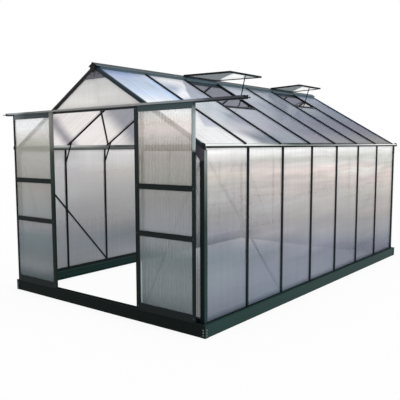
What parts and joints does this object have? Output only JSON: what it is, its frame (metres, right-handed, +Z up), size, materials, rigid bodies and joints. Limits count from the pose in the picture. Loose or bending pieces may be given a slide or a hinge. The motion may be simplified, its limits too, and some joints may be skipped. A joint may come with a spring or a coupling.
{
  "type": "polycarbonate greenhouse",
  "caption": "Walk-in greenhouse with a pitched roof, an extruded bar frame on a steel base, twin-wall glazing, sliding gable doors and propped roof vents.",
  "frame": {"origin": "centre of the base rails' footprint, on the ground", "axes": "+X across the gables to the right as seen from the doors, +Y from the door gable to the back gable, +Z up"},
  "size_m": [3.03, 4.371, 2.2682],
  "materials": {
    "painted_steel": "satin powder coat on folded steel",
    "coated_aluminium": "satin powder coat on extruded aluminium",
    "mill_aluminium": "dull plate",
    "polycarbonate": "translucent twin-wall sheet",
    "black_plastic": "moulded plastic"
  },
  "bodies": {
    "building": {"base_front": "painted_steel", "base_back": "painted_steel", "base_left": "painted_steel", "base_right": "painted_steel", "corner_brackets": "painted_steel", "sills": "coated_aluminium", "corner_posts": "coated_aluminium", "left_wall_bars": "coated_aluminium", "right_wall_bars": "coated_aluminium", "left_gutter": "coated_aluminium", "right_gutter": "coated_aluminium", "ridge_beam": "coated_aluminium", "end_caps": "black_plastic", "front_rafters": "coated_aluminium", "back_rafters": "coated_aluminium", "left_roof_bars": "coated_aluminium", "right_roof_bars": "coated_aluminium", "left_wall_panes": "polycarbonate", "right_wall_panes": "polycarbonate", "left_roof_panes": "polycarbonate", "right_roof_panes": "polycarbonate", "front_gable_panes": "polycarbonate", "back_gable_panes": "polycarbonate", "door_jambs": "coated_aluminium", "door_header": "coated_aluminium", "back_gable_bars": "coated_aluminium", "gable_crossbars": "coated_aluminium", "door_track": "coated_aluminium", "track_stops": "black_plastic", "gusset_plates": "mill_aluminium", "wall_braces": "coated_aluminium", "gable_braces": "coated_aluminium", "roof_braces": "coated_aluminium", "knee_braces": "coated_aluminium", "vent_frames": "coated_aluminium", "vent_panes": "polycarbonate", "vent_stays": "coated_aluminium", "vent_sills": "coated_aluminium"},
    "left_door": {"left_door_stiles": "coated_aluminium", "left_door_rails": "coated_aluminium", "left_door_panes": "polycarbonate", "left_door_rollers": "black_plastic"},
    "right_door": {"right_door_stiles": "coated_aluminium", "right_door_rails": "coated_aluminium", "right_door_panes": "polycarbonate", "right_door_rollers": "black_plastic"}
  },
  "joints": [
    {"name": "left_door_slide", "type": "slide", "parent": "building", "child": "left_door", "axis": [1, 0, 0], "range_m": [-0.1, 0.522]},
    {"name": "right_door_slide", "type": "slide", "parent": "building", "child": "right_door", "axis": [-1, 0, 0], "range_m": [-0.42, 0.558]}
  ]
}
